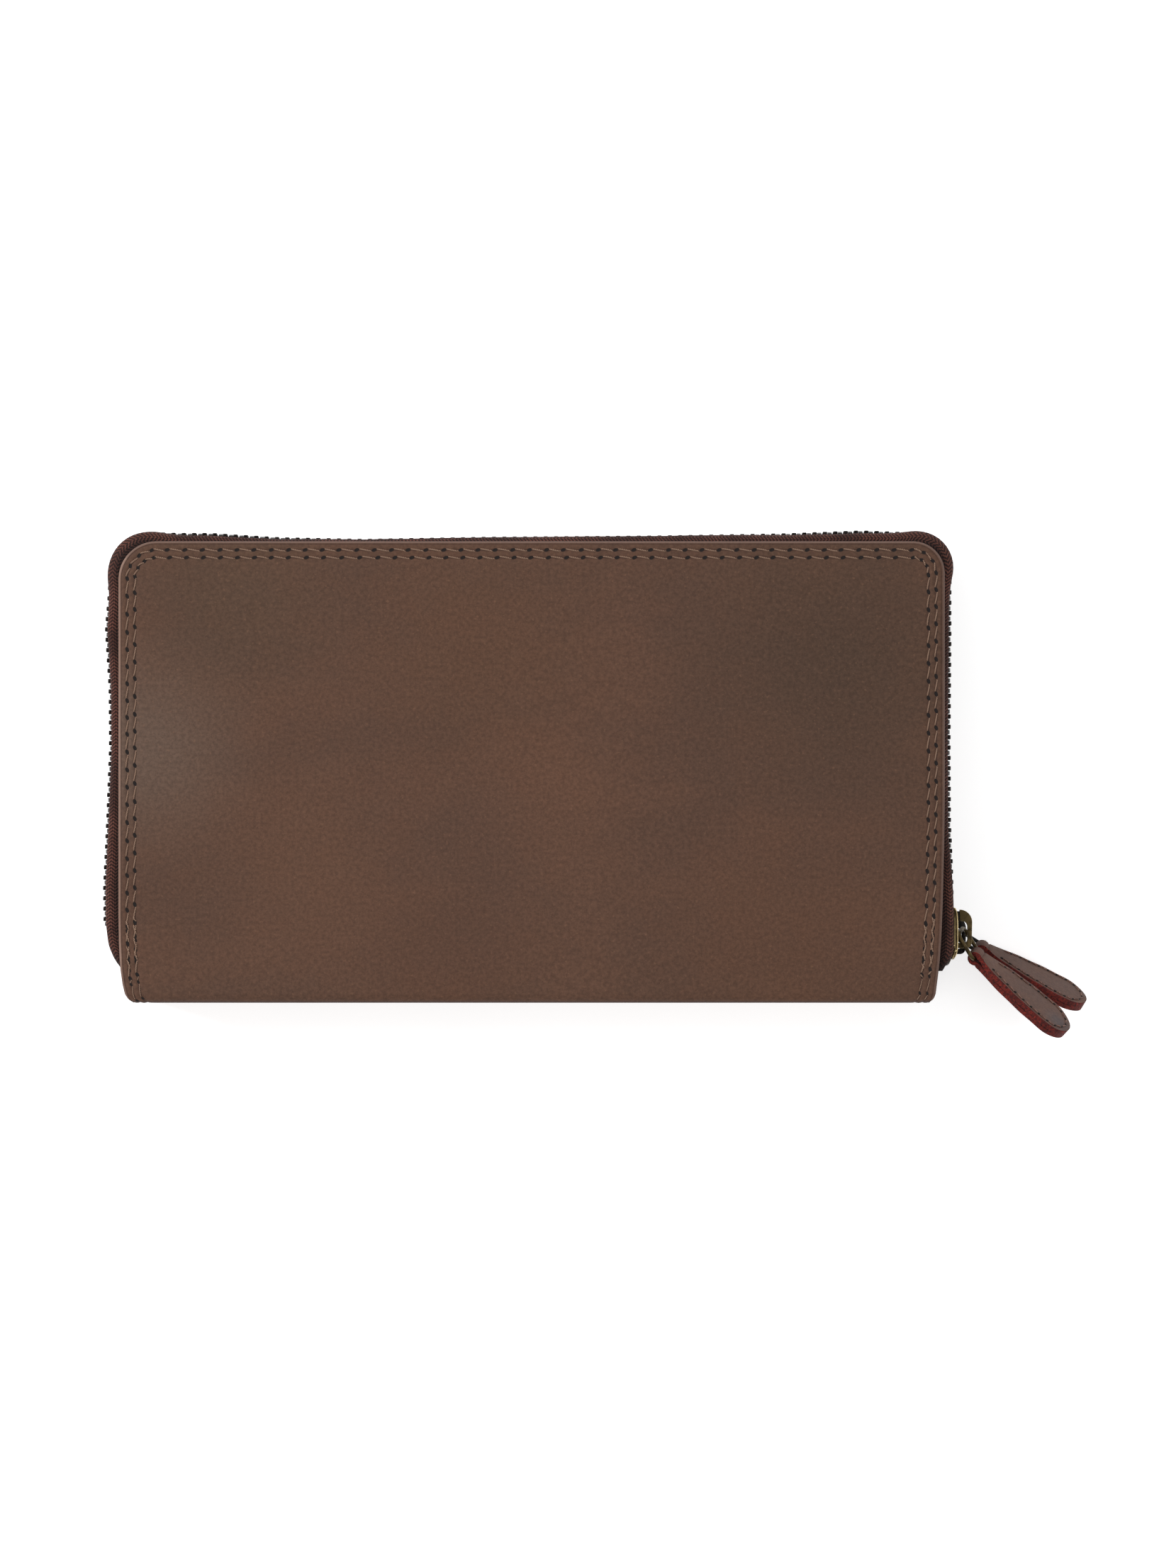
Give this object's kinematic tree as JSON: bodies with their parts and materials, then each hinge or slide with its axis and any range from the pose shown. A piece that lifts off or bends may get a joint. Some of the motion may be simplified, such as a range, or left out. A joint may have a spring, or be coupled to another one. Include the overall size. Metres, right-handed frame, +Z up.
{
  "type": "zip-around wallet",
  "caption": "Zip-around leather wallet: two zipped compartments, card pockets, zipped coin pocket in the divider, side gussets, leather teardrop tabs on both sliders.",
  "frame": {"origin": "middle of the front cover's outer face, which the wallet rests on", "axes": "+Z up through the thickness, +X along the width towards the zip pulls, +Y from the spine to the zipped long edge"},
  "size_m": [0.2335, 0.12, 0.028],
  "materials": {
    "outer_leather": "matte waxed pull-up leather",
    "inner_leather": "matte",
    "lining": "plain woven",
    "board": "plain",
    "zip_tape": "woven",
    "zip_teeth": "darkened antique",
    "antique_brass": "antique, worn bright on edges",
    "tab_leather": "matte with red dyed edges"
  },
  "bodies": {
    "front_cover": {"front_leather": "outer_leather", "front_spine_turn": "outer_leather", "front_board": "board", "front_lining": "lining", "front_card_pockets": "inner_leather", "lower_tape_front": "zip_tape", "lower_teeth_front": "zip_teeth", "lower_tape_end": "zip_tape", "lower_teeth_end": "zip_teeth", "lower_top_stops": "zip_teeth", "lower_gusset_left": "inner_leather", "lower_gusset_right": "inner_leather"},
    "divider": {"spine_leather": "outer_leather", "spine_lining": "lining", "divider_front_panel": "lining", "divider_rear_panel": "lining", "divider_edge_strip": "outer_leather", "divider_front_pocket": "inner_leather", "divider_rear_pocket": "inner_leather", "coin_tape_top": "zip_tape", "coin_tape_bottom": "zip_tape", "coin_teeth_top": "zip_teeth", "coin_teeth_bottom": "zip_teeth", "lower_tape_divider": "zip_tape", "lower_teeth_divider": "zip_teeth", "upper_tape_divider": "zip_tape", "upper_teeth_divider": "zip_teeth", "upper_tape_end": "zip_tape", "upper_teeth_end": "zip_teeth", "upper_top_stops": "zip_teeth", "upper_gusset_left": "inner_leather", "upper_gusset_right": "inner_leather"},
    "rear_cover": {"rear_leather": "outer_leather", "rear_spine_turn": "outer_leather", "rear_board": "board", "rear_lining": "lining", "rear_card_pockets": "inner_leather", "upper_tape_rear": "zip_tape", "upper_teeth_rear": "zip_teeth"},
    "lower_slider": {"lower_slider": "antique_brass"},
    "lower_ring": {"lower_ring": "antique_brass"},
    "lower_tab": {"lower_tab": "tab_leather"},
    "upper_slider": {"upper_slider": "antique_brass"},
    "upper_ring": {"upper_ring": "antique_brass"},
    "upper_tab": {"upper_tab": "tab_leather"},
    "coin_slider": {"coin_slider": "antique_brass"},
    "coin_pull": {"coin_pull": "antique_brass"}
  },
  "joints": [
    {"name": "lower_compartment_open", "type": "hinge", "parent": "front_cover", "child": "divider", "pos_m": [0, -0.0545, 0.0075], "axis": [1, 0, 0], "range_deg": [0, 50], "deforming": ["lower_gusset_left", "lower_gusset_right"]},
    {"name": "upper_compartment_open", "type": "hinge", "parent": "divider", "child": "rear_cover", "pos_m": [0, -0.0545, 0.0205], "axis": [1, 0, 0], "range_deg": [0, 50], "deforming": ["upper_gusset_left", "upper_gusset_right"]},
    {"name": "lower_slider_travel", "type": "slide", "parent": "front_cover", "child": "lower_slider", "axis": [0, 1, 0], "range_m": [0, 0.07], "deforming": ["lower_teeth_front", "lower_teeth_divider", "lower_teeth_end"]},
    {"name": "upper_slider_travel", "type": "slide", "parent": "divider", "child": "upper_slider", "axis": [0, 1, 0], "range_m": [0, 0.07], "deforming": ["upper_teeth_divider", "upper_teeth_rear", "upper_teeth_end"]},
    {"name": "lower_ring_swing", "type": "hinge", "parent": "lower_slider", "child": "lower_ring", "pos_m": [0.1018, -0.0387, 0.0075], "axis": [0, 0, 1], "range_deg": [-20, 75]},
    {"name": "lower_tab_swing", "type": "hinge", "parent": "lower_ring", "child": "lower_tab", "pos_m": [0.10791, -0.04248, 0.00706], "axis": [-0.1473, -0.3459, 0.9266], "range_deg": [0, 45]},
    {"name": "upper_ring_swing", "type": "hinge", "parent": "upper_slider", "child": "upper_ring", "pos_m": [0.1018, -0.0377, 0.0205], "axis": [0, 0, 1], "range_deg": [-10, 75]},
    {"name": "upper_tab_swing", "type": "hinge", "parent": "upper_ring", "child": "upper_tab", "pos_m": [0.10556, -0.04374, 0.01942], "axis": [-0.2818, -0.3358, 0.8988], "range_deg": [0, 45]},
    {"name": "coin_slider_travel", "type": "slide", "parent": "divider", "child": "coin_slider", "axis": [-1, 0, 0], "range_m": [0, 0.11], "deforming": ["coin_teeth_top", "coin_teeth_bottom"]},
    {"name": "coin_pull_swing", "type": "hinge", "parent": "coin_slider", "child": "coin_pull", "pos_m": [0.058, 0.038, 0.01808], "axis": [0, 1, 0], "range_deg": [0, 20]}
  ]
}
